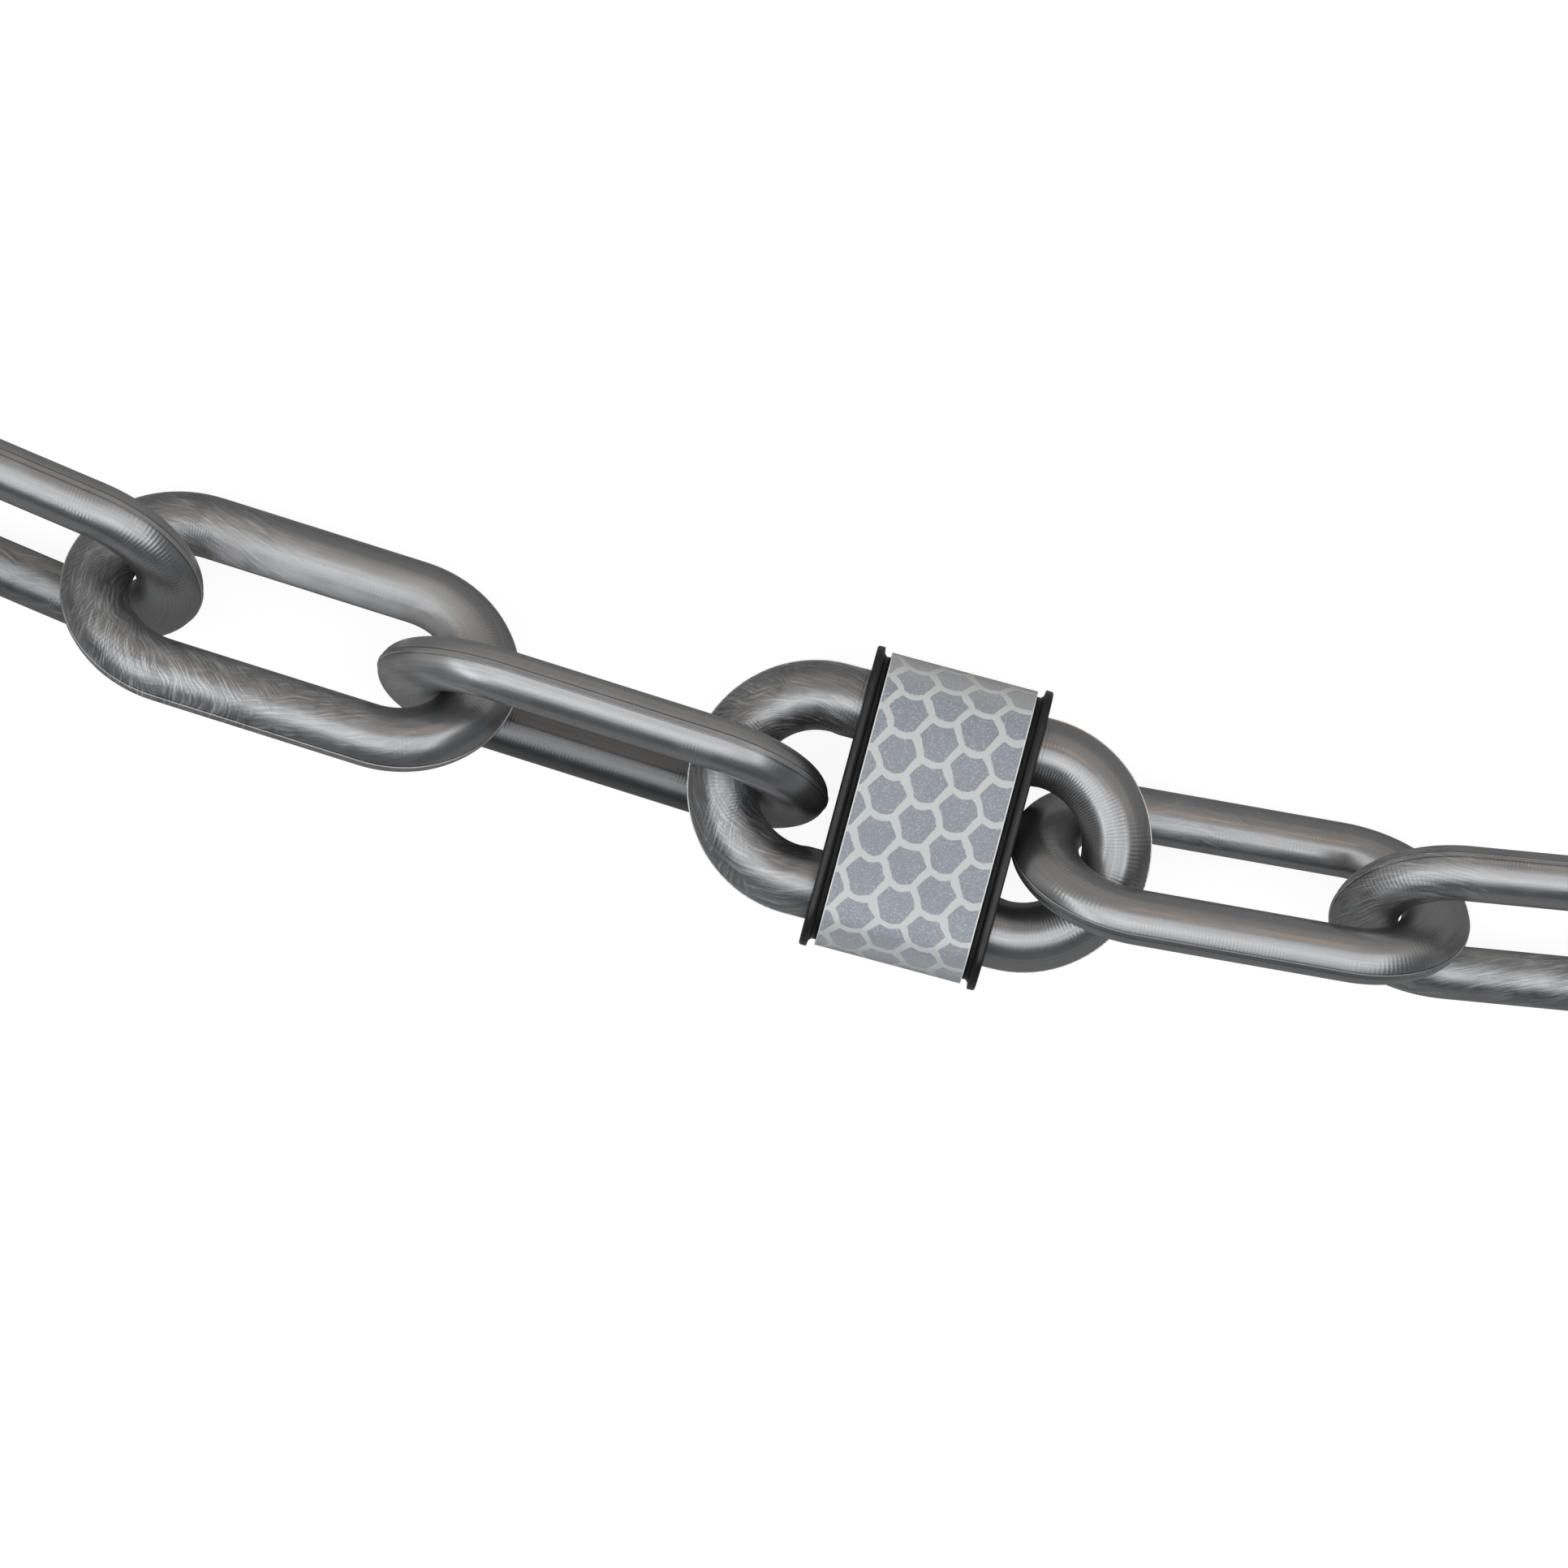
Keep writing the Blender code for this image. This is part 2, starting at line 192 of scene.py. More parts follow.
linkFinish = {
    "dark": (0.150, 0.153, 0.160),
    "light": (0.610, 0.614, 0.624),
    "metallic": (0.90, 0.05),  # of the plain plastic and of its most matt marks
    "roughness": (0.29, 0.42),
    "dullness": (0.35, 0.95),  # patchiness at which the plastic has the one and the other
    "flowDullness": 0.35,      # what the marks add to it
    # circles as long as the link's ring and as its bar is round, in millimetres
    "ringRadius": 18.7,
    "barRadius": 3.4,
    "seedStep": 9.7,           # keeps the links' patterns apart
    # hair-like marks of the flowing plastic, in millimetres: how wide and long one hair is
    "crossHair": (0.10, 1.3),
    "lainHair": (0.10, 2.4),
    "hairSpan": (0.45, 0.68),  # noise at which a hair begins and is at its strongest
    "hairMean": 0.27,          # their mean strength, so that they darken as much as they lighten
    "hairMatt": 0.40,          # how much of the metal look a hair loses
    "sweep": 0.12,             # how much the crossing hairs curl
    "slope": 0.34,             # how much the lain ones climb along the bar
    "drift": (4.0, 0.35),      # how far slow bows and quick ripples push the crossing ones aside
    "lainDrift": 0.45,         # the lain ones' share of that
    # how unevenly the marks spread, and where they begin and are at their strongest
    "spread": (2.4, 2.2),
    "nearSpan": (0.60, 1.15),
    "farSpan": (0.05, 0.70),
    "overlap": 0.1,            # what is left of the lain hairs among the crossing ones
    "paleMatt": (0.5, 0.9),    # how matt a pale stretch is, everywhere and in its patches
    "ribPitch": 0.42,
    "ribSpan": (0.40, 0.60),   # where there are ribs at all
    # heights of the marks, in metres
    "crossHeight": 0.0000090,
    "lainHeight": 0.0000070,
    "brushHeight": 0.0000034,
    "peelHeight": 0.0000055,
    "ribHeight": 0.0000070,
    # from where to where round the bar, in radians on each side of the mould line
    # a painted highlight on the ridge's edges, and painted shade at its feet
    "lineHighlight": (0.045, 0.065, 0.080, 0.095),
    "lineShade": (0.085, 0.100, 0.130, 0.165),
}

linkTones = {
    # how far each thing moves the plastic from dark, at 0, towards light, at 1
    "plain": 0.50,
    "crossHair": 0.62,
    "lainHair": 0.46,
    "patches": 0.20,
    "flowPatches": 0.75,       # more of that, where there are marks
    "brushing": 0.42,
    "flakes": 0.22,
    # the pale stretch: partly matt plastic, partly a painted highlight
    "paleSheen": 0.38,
    # painted shade at the mould line's feet, and a painted highlight on its edges
    "lineShade": -0.42,
    "lineHighlight": 0.50,
}

linkNoises = {
    # width across the bar and length along it in millimetres, finer detail, distortion, and what is
    # added to the link's own seed
    "bow": (5, 6, 1, 0.0, 0.0),
    "ripple": (1.4, 1.8, 1, 0.0, 0.0),
    "patches": (2.5, 4.0, 5, 0.6, 0.0),
    "tufts": (1.1, 2.4, 3, 0.5, 13.0),
    "region": (6, 9, 2, 0.0, 31.0),
    "brushing": (0.20, 26.0, 3, 0.0, 0.0),
    "peel": (0.55, 0.715, 2, 0.0, 0.0),
    "flakes": (0.10, 0.12, 1, 0.0, 0.0),
}

flowMarks = {
    # link: where the plastic entered its ring (0 and 1 are where its lower left bend ends), how far
    # the marks reach round it, and how strong they are
    1: (0.86, 0.25, 0.6),
    2: (0.15, 0.20, 0.4),
    3: (0.93, 0.37, 1.0),
    4: (0.86, 0.12, 0.3),
    5: (0.86, 0.22, 0.85),
    6: (0.66, 0.14, 0.3),
    7: (0.97, 0.36, 0.65),
    8: (0.90, 0.25, 0.8),
}

paintedShadeStretches = {
    # link: middle of a stretch of painted shade on its ring, how far it reaches, and how much light it
    # keeps
    2: (0.16, 0.26, 0.75),
    4: (0.16, 0.26, 0.42),
}

paleSheenStretches = {
    # link: middle and reach of a pale, matt stretch on its ring, partly a matt patch of the plastic
    # and partly a painted highlight, the middle and reach of it round the bar in degrees, and how pale
    # it is
    3: (0.56, 0.18, 140, 62, 0.80),
    4: (0.86, 0.17, 60, 95, 0.32),
}

# the first is for the stretch of painted shade, the others for the pale stretch with its painted
# highlight
stretchEnds = {"dark": 4, "paleSheen": 3, "paleAround": 1.6}  # how suddenly they end


def barOutline(thickness):
    # the bar's oval with the flat ridge outside it, and three points where the inner one rises
    facets = linkShape["barFacets"]
    middle = facets // 2
    wide, thick = linkShape["barWidth"] / 2, thickness / 2
    turns = [2 * math.pi * step / facets for step in range(facets)]
    oval = [(math.cos(turn) * wide, math.sin(turn) * thick) for turn in turns]
    foot = linkShape["ridgeWidth"] / 2
    edge = math.sqrt(1 - (foot / thick) ** 2) * wide
    top, crest = edge + linkShape["ridgeHeight"], foot * linkShape["ridgeTop"]
    outside = [(edge, -foot), (top, -crest), (top, crest), (edge, foot)]
    inside = [(-edge, foot), oval[middle], (-edge, -foot)]
    rest = [point for point in oval if abs(point[1]) > foot * (1 + linkShape["margin"])]
    above = [point for point in rest if point[1] > 0]
    below = [point for point in rest if point[1] < 0]
    return outside + above + inside + below


def linkShell(size):
    # spins the bar round one bend, draws it straight, spins it round the other and closes the ring
    ridge = linkShape["ridgeHeight"]
    size = size - Vector((2, 2, 2)) * linkShape["inside"]
    bend = (size.y - 2 * ridge - linkShape["barWidth"]) / 2
    half = (size.x - size.y) / 2
    facets = linkShape["straightFacets"]
    fade = linkShape["ridgeFade"]
    steps = [fade] + [2 * (half - fade) / facets] * facets + [fade]
    outline = barOutline(size.z)
    shape = bmesh.new()
    ring = [shape.verts.new((half, -bend - across, through)) for across, through in outline]
    first = [shape.edges.new((ring[i - 1], ring[i])) for i in range(len(ring))]
    edges = list(first)
    for side in (1, -1):
        spun = bmesh.ops.spin(shape, geom=edges, cent=(side * half, 0, 0), axis=(0, 0, 1),
                              angle=math.pi, steps=linkShape["bendFacets"])
        edges = [item for item in spun["geom_last"] if isinstance(item, bmesh.types.BMEdge)]
        for step in steps if side == 1 else steps[:-1]:
            drawn = bmesh.ops.extrude_edge_only(shape, edges=edges)["geom"]
            points = [item for item in drawn if isinstance(item, bmesh.types.BMVert)]
            bmesh.ops.translate(shape, verts=points, vec=(-side * step, 0, 0))
            rails = [item for item in drawn if isinstance(item, bmesh.types.BMEdge)]
            edges = [edge for edge in rails if all(point in points for point in edge.verts)]
    bmesh.ops.bridge_loops(shape, edges=first + edges)
    innermost = bend - linkShape["barWidth"] / 2
    for point in shape.verts:
        inward = abs(abs(point.co.y) - innermost) < ridge / 2
        if inward and abs(point.co.x) < half - fade * (1 - linkShape["margin"]):
            point.co.y -= math.copysign(ridge, point.co.y)
    return shape, half, bend


def ringApart(share, other):
    # how far apart two places on the ring are, as a share of it
    return abs((share - other + 0.5) % 1 - 0.5)


def fadeOut(apart, suddenness):
    # 1 in the middle of a stretch, and 0 from its end on, where apart is 1
    return max(0.0, min(1.0, (1 - apart) * suddenness))


def markBar(shape, half, bend, thickness, number):
    # keeps on each point, for the material to follow: the way round the link and round the bar, how
    # strong the flow marks are, how much light the painted shade leaves it and how pale it is
    ringWay = shape.verts.layers.float_vector.new("ringWay")
    barTurn = shape.verts.layers.float_vector.new("barTurn")
    barPaintedShadeAndSheen = shape.verts.layers.float_vector.new("barPaintedShadeAndSheen")
    whole = 4 * half + 2 * math.pi * bend
    entry, reach, strength = flowMarks[number]
    # the stretch of painted shade: its middle, its reach and the light it keeps
    dark, shadeReach, light = paintedShadeStretches.get(number, (0, 1, 1))
    paleSheen, paleReach, facing, width, paleness = paleSheenStretches.get(number, (0, 1, 0, 1, 0))
    for point in shape.verts:
        x, y, z = point.co
        if abs(x) <= half:
            gone = x + half if y < 0 else 3 * half + math.pi * bend - x
            outward = abs(y) - bend
        else:
            middle = math.copysign(half, x)
            angle = (math.atan2(y, x - middle) + math.pi / 2) % (2 * math.pi)
            gone = 2 * half + bend * angle if x > 0 else 4 * half + bend * angle
            outward = math.hypot(x - middle, y) - bend
        share = gone / whole
        along = 2 * math.pi * (share - entry)
        around = math.atan2(z / thickness, outward / linkShape["barWidth"])
        flow = strength * max(0.0, 1 - (ringApart(share, entry) / reach) ** 2)
        # painted shade: the colour is darkened along this stretch of the ring, where the real bar lies
        # in shade
        paintedShadeKept = 1 - (1 - light) * fadeOut(ringApart(share, dark) / shadeReach, stretchEnds["dark"])
        # the pale stretch: paler colour on one side of the bar, partly a matt patch and partly a
        # painted highlight
        aside = abs(math.degrees(around) % 360 - facing) / width
        amount = paleness * fadeOut(ringApart(share, paleSheen) / paleReach, stretchEnds["paleSheen"])
        amount *= fadeOut(aside, stretchEnds["paleAround"])
        point[ringWay] = (math.cos(along), math.sin(along), number * linkFinish["seedStep"])
        point[barTurn] = (math.cos(around), math.sin(around), flow)
        point[barPaintedShadeAndSheen] = (paintedShadeKept, amount, 0)


def ringNoise(tree, way, around, size, stretch, detail, warp, extra):
    # noise that runs round the link and round the bar without a seam
    ringScale = linkFinish["ringRadius"] / stretch
    barScale = linkFinish["barRadius"] / size
    x = calc(tree, "MULTIPLY", way["X"], ringScale)
    y = calc(tree, "MULTIPLY", way["Y"], ringScale)
    z = calc(tree, "MULTIPLY", calc(tree, "COSINE", around), barScale)
    seed = calc(tree, "ADD", way["Z"], extra)
    w = calc(tree, "MULTIPLY_ADD", calc(tree, "SINE", around), barScale, seed)
    place = addNode(tree, "ShaderNodeCombineXYZ", {0: x, 1: y, 2: z}).outputs[0]
    given = {"Vector": place, "W": w, "Scale": 1.0, "Detail": detail, "Distortion": warp}
    return addNode(tree, "ShaderNodeTexNoise", given, noise_dimensions="4D").outputs["Fac"]


def hairs(tree, across, along, seed, width, length):
    # thin lines: across and along them in millimetres, which change fast and slowly
    across = calc(tree, "DIVIDE", across, width * 2)
    along = calc(tree, "DIVIDE", along, length * 2)
    place = addNode(tree, "ShaderNodeCombineXYZ", {0: across, 1: along, 2: seed}).outputs[0]
    noise = addNode(tree, "ShaderNodeTexNoise", {"Vector": place, "Scale": 1.0, "Detail": 3})
    return ramp(tree, noise.outputs["Fac"], *linkFinish["hairSpan"])


def flowHairs(tree, gone, girth, seed, noises):
    # hairs that curl across the bar, and ones that lie along it and climb
    look = linkFinish
    bowed, rippled = look["drift"]
    bow = calc(tree, "MULTIPLY", calc(tree, "SUBTRACT", noises["bow"], 0.5), bowed)
    drift = gather(tree, bow, noises["ripple"], rippled)
    curl = calc(tree, "MULTIPLY", calc(tree, "POWER", girth, 2.0), look["sweep"])
    curl = calc(tree, "ADD", calc(tree, "ADD", gone, curl), drift)
    climb = calc(tree, "MULTIPLY_ADD", calc(tree, "ABSOLUTE", gone), -look["slope"], girth)
    climb = calc(tree, "MULTIPLY_ADD", drift, look["lainDrift"], climb)
    crossing = hairs(tree, curl, girth, seed, *look["crossHair"])
    lain = hairs(tree, climb, gone, seed, *look["lainHair"])
    return crossing, lain


def flowReach(tree, flow, noises):
    # where there are crossing hairs, marks of any kind, and lain hairs
    byRegion, byTuft = linkFinish["spread"]
    uneven = gather(tree, 1.0, noises["region"], byRegion)
    uneven = gather(tree, uneven, noises["tufts"], byTuft)
    reached = calc(tree, "MULTIPLY", flow, uneven)
    near = ramp(tree, reached, *linkFinish["nearSpan"])
    far = ramp(tree, reached, *linkFinish["farSpan"])
    room = calc(tree, "MULTIPLY_ADD", near, linkFinish["overlap"] - 1, 1.0)
    return near, far, calc(tree, "MULTIPLY", far, room)


def silverGreyPlastic():
    material, tree, shader = newMaterial("silverGreyPlastic")
    look, tones = linkFinish, linkTones
    way = splitVector(tree, attributeVector(tree, "ringWay"))
    turn = splitVector(tree, attributeVector(tree, "barTurn"))
    tone = splitVector(tree, attributeVector(tree, "barPaintedShadeAndSheen"))
    paintedShadeKept, paleSheen = tone["X"], tone["Y"]
    along = calc(tree, "ARCTAN2", way["Y"], way["X"])
    around = calc(tree, "ARCTAN2", turn["Y"], turn["X"])
    gone = calc(tree, "MULTIPLY", along, look["ringRadius"])
    girth = calc(tree, "MULTIPLY", around, look["barRadius"])
    noises = {name: ringNoise(tree, way, around, *values) for name, values in linkNoises.items()}
    patches = noises["patches"]
    crossing, lain = flowHairs(tree, gone, girth, way["Z"], noises)
    near, far, aside = flowReach(tree, turn["Z"], noises)

    cloud = calc(tree, "MULTIPLY_ADD", far, tones["flowPatches"], tones["patches"])
    tone = gather(tree, tones["plain"], patches, cloud)
    crossed = calc(tree, "MULTIPLY", near, tones["crossHair"])
    tone = gather(tree, tone, crossing, crossed, look["hairMean"])
    laid = calc(tree, "MULTIPLY", aside, tones["lainHair"])
    tone = gather(tree, tone, lain, laid, look["hairMean"])
    tone = gather(tree, tone, noises["brushing"], tones["brushing"])
    tone = gather(tree, tone, noises["flakes"], tones["flakes"])
    # painted highlight: the pale stretch lightens the colour, together with its matt finish
    tone = calc(tree, "MULTIPLY_ADD", paleSheen, tones["paleSheen"], tone)

    # painted light at the mould line: a painted highlight on its edges and painted shade at its feet
    side = calc(tree, "ABSOLUTE", around)
    for name in ("lineShade", "lineHighlight"):
        line = stripe(tree, side, *look[name])
        tone = calc(tree, "MULTIPLY_ADD", line, tones[name], tone)
    tone = calc(tree, "MINIMUM", calc(tree, "MAXIMUM", tone, 0.0), 1.0)
    # painted shade: the colour is scaled down by the light that the painted shade keeps
    colour = {0: blendColours(tree, tone, look["dark"], look["light"]), "Scale": paintedShadeKept}
    colour = addNode(tree, "ShaderNodeVectorMath", colour, operation="SCALE").outputs[0]
    tree.links.new(colour, shader.inputs["Base Color"])

    crossing = calc(tree, "MULTIPLY", crossing, near)
    lain = calc(tree, "MULTIPLY", lain, aside)
    everywhere, inPatches = look["paleMatt"]
    clouded = calc(tree, "MULTIPLY_ADD", patches, inPatches, everywhere)
    clouded = calc(tree, "MULTIPLY", paleSheen, clouded)
    matt = calc(tree, "MAXIMUM", crossing, lain)
    matt = calc(tree, "MULTIPLY_ADD", matt, look["hairMatt"], clouded)
    metallic = ramp(tree, matt, 0.0, 1.0, *look["metallic"])
    tree.links.new(metallic, shader.inputs["Metallic"])
    dullness = calc(tree, "MULTIPLY_ADD", far, look["flowDullness"], patches)
    roughness = ramp(tree, dullness, *look["dullness"], *look["roughness"])
    tree.links.new(roughness, shader.inputs["Roughness"])

    # the marks' relief, brushing along the bar, a slight orange peel, and ribs across the bar
    ribs = round(2 * math.pi * look["ringRadius"] / look["ribPitch"])
    ribs = calc(tree, "SINE", calc(tree, "MULTIPLY", along, ribs))
    ribs = calc(tree, "MULTIPLY", ribs, ramp(tree, noises["region"], *look["ribSpan"]))
    height = 0.0
    for mark, name in ((crossing, "cross"), (lain, "lain"), (noises["brushing"], "brush"),
                       (noises["peel"], "peel"), (ribs, "rib")):
        height = calc(tree, "MULTIPLY_ADD", mark, look[f"{name}Height"], height)
    addBump(tree, shader, height, 1.0)
    return material


def roundSides(piece, place, half, bend):
    # shades the bar as two sides that meet at the mould line, and leaves the ridge as it is
    mesh = piece.data
    back = place.inverted()
    turn = place.to_3x3()
    foot = linkShape["ridgeWidth"] / 2 * (1 + linkShape["margin"])
    wide = linkShape["barWidth"] / 2
    edgeTurn = math.radians(linkShape["edgeTurn"])
    local = [back @ point.co for point in mesh.vertices]
    normals = [(0, 0, 0)] * len(mesh.loops)
    for face in mesh.polygons:
        corners = [local[index] for index in face.vertices]
        if max(abs(point.z) for point in corners) < foot:
            continue
        side = math.copysign(1, sum(point.z for point in corners))
        for index, point in zip(face.loop_indices, corners):
            outward = Vector((point.x - max(-half, min(half, point.x)), point.y, 0))
            across = outward.length - bend
            share = math.acos(min(1, abs(across) / wide)) / (math.pi / 2)
            lean = edgeTurn + (math.pi / 2 - edgeTurn) * share ** linkShape["sideCurve"]
            flat = outward.normalized() * math.copysign(math.cos(lean), across)
            normals[index] = turn @ (flat + Vector((0, 0, side * math.sin(lean))))
    mesh.normals_split_custom_set(normals)


def makeLinks():
    plastic = silverGreyPlastic()
    for number in flowMarks:
        name = f"link_{number}"
        place, size = linkPlace(name)
        size.z, raised = linkShape["deeperBars"].get(number, (size.z, 0.0))
        place = Matrix.Translation((0, 0, raised)) @ place
        shape, half, bend = linkShell(size)
        markBar(shape, half, bend, size.z, number)
        piece = finishPiece(f"{name}_moulding", shape, place, plastic,
                            name, name)
        roundSides(piece, place, half, bend)
    print("links made")


# The collar

shellFinish = {
    "colour": (0.0085, 0.0085, 0.0095),
    "roughness": (0.30, 0.46),
    # sizes per metre of the fine grain and of the worn patches, and where those begin and are full
    "grain": 2600,
    "wear": 320,
    "wearSpan": (0.35, 0.65),
    "relief": 0.000025,
    "joinWithin": 1e-6,        # the CAD node's loose triangles become one skin
}

bandShape = {
    "thickness": 0.0004,
    "endRadius": 0.00500,      # outside, where the band goes round the collar's two ends
    "seam": 0.0005,
    "crossCuts": 24,
    "faceFacets": 40,
    "endFacets": 22,
    "joinWithin": 1e-7,
}

bandFinish = {
    "cell": (0.300, 0.325, 0.372),
    "border": (0.630, 0.655, 0.660),
    # also the colour of the painted reflection towards the collar's ends
    "edge": (0.80, 0.81, 0.81),
    # lengths in millimetres
    "cellPitch": 4.87,         # between two cells across the collar
    "cellShift": (-0.95, 3.90),
    "borderWidth": 0.86,
    "borderBlur": 0.06,
    "sag": 0.30,
    "edgeWidth": 0.14,
    "edgeBlur": 0.3,           # as a share of that width
    # unevenness of the borders: noise scale, detail and how far it moves them
    "wobble": (0.55, 1, 0.50),
    "bite": (3.2, 2, 0.16),
    # towards the collar's ends the cells crowd together, and a painted reflection of the sheet's
    # glossy
    # top turns it paler: where that begins and ends, and how much
    "crowding": (11.5, 19.5, 2.6),
    "paintedVeil": (13.0, 18.0, 0.42),
    # the prisms' grain with painted glints: noise scale, how rare the bright ones are, and their least
    # and added brightness
    "prisms": (7.5, 5.0, 0.92, 0.62),
    "prismHeight": 0.3,        # as a share of the borders'
    "relief": (0.00005, 0.5),  # in metres, and how strong
    "metallic": 0.15,
    "roughness": 0.50,
    "coat": (0.7, 0.16),       # weight and roughness
}


def blackPlastic():
    material, tree, shader = newMaterial("blackPlastic")
    look = shellFinish
    place = addNode(tree, "ShaderNodeTexCoord").outputs["Object"]
    given = {"Vector": place, "Scale": look["grain"], "Detail": 3}
    grain = addNode(tree, "ShaderNodeTexNoise", given).outputs["Fac"]
    given = {"Vector": place, "Scale": look["wear"], "Detail": 4}
    wear = addNode(tree, "ShaderNodeTexNoise", given).outputs["Fac"]
    shader.inputs["Base Color"].default_value = (*look["colour"], 1)
    roughness = ramp(tree, wear, *look["wearSpan"], *look["roughness"])
    tree.links.new(roughness, shader.inputs["Roughness"])
    addBump(tree, shader, grain, look["relief"])
    return material


def cellDistance(tree, u, v, shift):
    # distance from the middle of a six-sided cell, 0.5 at its border, on one of two brick lattices
    x = calc(tree, "SUBTRACT", calc(tree, "FRACT", calc(tree, "ADD", u, shift)), 0.5)
    y = calc(tree, "SUBTRACT", calc(tree, "FRACT", calc(tree, "ADD", v, shift)), 0.5)
    x = calc(tree, "MULTIPLY", calc(tree, "ABSOLUTE", x), math.sqrt(3))
    y = calc(tree, "ABSOLUTE", y)
    slanted = calc(tree, "MULTIPLY_ADD", x, math.sqrt(3) / 2, calc(tree, "MULTIPLY", y, 0.5))
    return calc(tree, "MAXIMUM", y, slanted)


def unevenness(tree, place, scale, detail, amount):
    given = {"Vector": place, "Scale": scale, "Detail": detail}
    noise = addNode(tree, "ShaderNodeTexNoise", given).outputs["Fac"]
    return calc(tree, "MULTIPLY_ADD", noise, amount, -amount / 2)


def cellBorders(tree, wound, across, around):
    # the borders between cells sag like hung threads
    look = bandFinish
    pitch, (shiftU, shiftV) = look["cellPitch"], look["cellShift"]
    row = pitch * math.sqrt(3)
    start, end, extra = look["crowding"]
    crowded = ramp(tree, calc(tree, "ABSOLUTE", around), start, end, 0.0, extra)
    crowded = calc(tree, "MULTIPLY", calc(tree, "SIGN", around), crowded)
    wobble = unevenness(tree, wound, *look["wobble"])
    bite = unevenness(tree, wound, *look["bite"])
    u = calc(tree, "SUBTRACT", across, shiftU)
    v = calc(tree, "SUBTRACT", calc(tree, "ADD", around, crowded), shiftV)
    sag = calc(tree, "COSINE", calc(tree, "MULTIPLY", u, 4 * math.pi / row))
    v = calc(tree, "ADD", calc(tree, "MULTIPLY_ADD", sag, look["sag"], v), wobble)
    u = calc(tree, "DIVIDE", calc(tree, "ADD", u, wobble), row)
    v = calc(tree, "DIVIDE", v, pitch)
    nearest = calc(tree, "MINIMUM", cellDistance(tree, u, v, 0.5), cellDistance(tree, u, v, 0.0))
    toBorder = calc(tree, "MULTIPLY_ADD", calc(tree, "SUBTRACT", 0.5, nearest), pitch, bite)
    reach, blur = look["borderWidth"] / 2, look["borderBlur"]
    return ramp(tree, toBorder, reach + blur, reach - blur)


def reflectiveSheet(reach):
    material, tree, shader = newMaterial("reflectiveSheet")
    look = bandFinish
    wound = attributeVector(tree, "woundPlace")
    place = splitVector(tree, wound)
    across, around = place["X"], place["Y"]
    border = cellBorders(tree, wound, across, around)

    # the prisms' grain inside the cells, whose brightest specks are painted glints
    scale, rarity, least, added = look["prisms"]
    sparkle = addNode(tree, "ShaderNodeTexVoronoi", {"Vector": wound, "Scale": scale})
    glint = addNode(tree, "ShaderNodeSeparateColor", {0: sparkle.outputs["Color"]}).outputs[0]
    grain = calc(tree, "MULTIPLY_ADD", calc(tree, "POWER", glint, rarity), added, least)
    grain = addNode(tree, "ShaderNodeCombineColor", {0: grain, 1: grain, 2: grain}).outputs[0]
    cell = {"Factor": 1.0, 6: (*look["cell"], 1), 7: grain}
    cell = addNode(tree, "ShaderNodeMix", cell, data_type="RGBA", blend_type="MULTIPLY").outputs[2]
    colour = blendColours(tree, border, cell, look["border"])
    # painted reflection: the sheet is blended towards the edge colour towards the collar's ends
    start, end, veiled = look["paintedVeil"]
    veiled = ramp(tree, calc(tree, "ABSOLUTE", around), start, end, 0.0, veiled)
    colour = blendColours(tree, veiled, colour, look["edge"])
    width, blur = look["edgeWidth"], look["edgeBlur"]
    toEdge = calc(tree, "ABSOLUTE", across)
    rim = ramp(tree, toEdge, reach - width * (1 + blur), reach - width * (1 - blur))
    colour = blendColours(tree, rim, colour, look["edge"])
    tree.links.new(colour, shader.inputs["Base Color"])
    shader.inputs["Metallic"].default_value = look["metallic"]
    shader.inputs["Roughness"].default_value = look["roughness"]
    shader.inputs["Coat Weight"].default_value, gloss = look["coat"]
    shader.inputs["Coat Roughness"].default_value = gloss
    height = calc(tree, "MULTIPLY_ADD", glint, look["prismHeight"], border)
    addBump(tree, shader, height, *look["relief"])
    return material


def makeShells():
    plastic = blackPlastic()
    for side in ("front", "back"):
        name = f"collar_{side}_shell"
        shape = bmesh.new()
        shape.from_mesh(nodes[name].data)
        bmesh.ops.remove_doubles(shape, verts=shape.verts, dist=shellFinish["joinWithin"])
        finishPiece(f"{name}_moulding", shape, Matrix.Identity(4), plastic,
                    "collar", name)
    print("collar shells made")


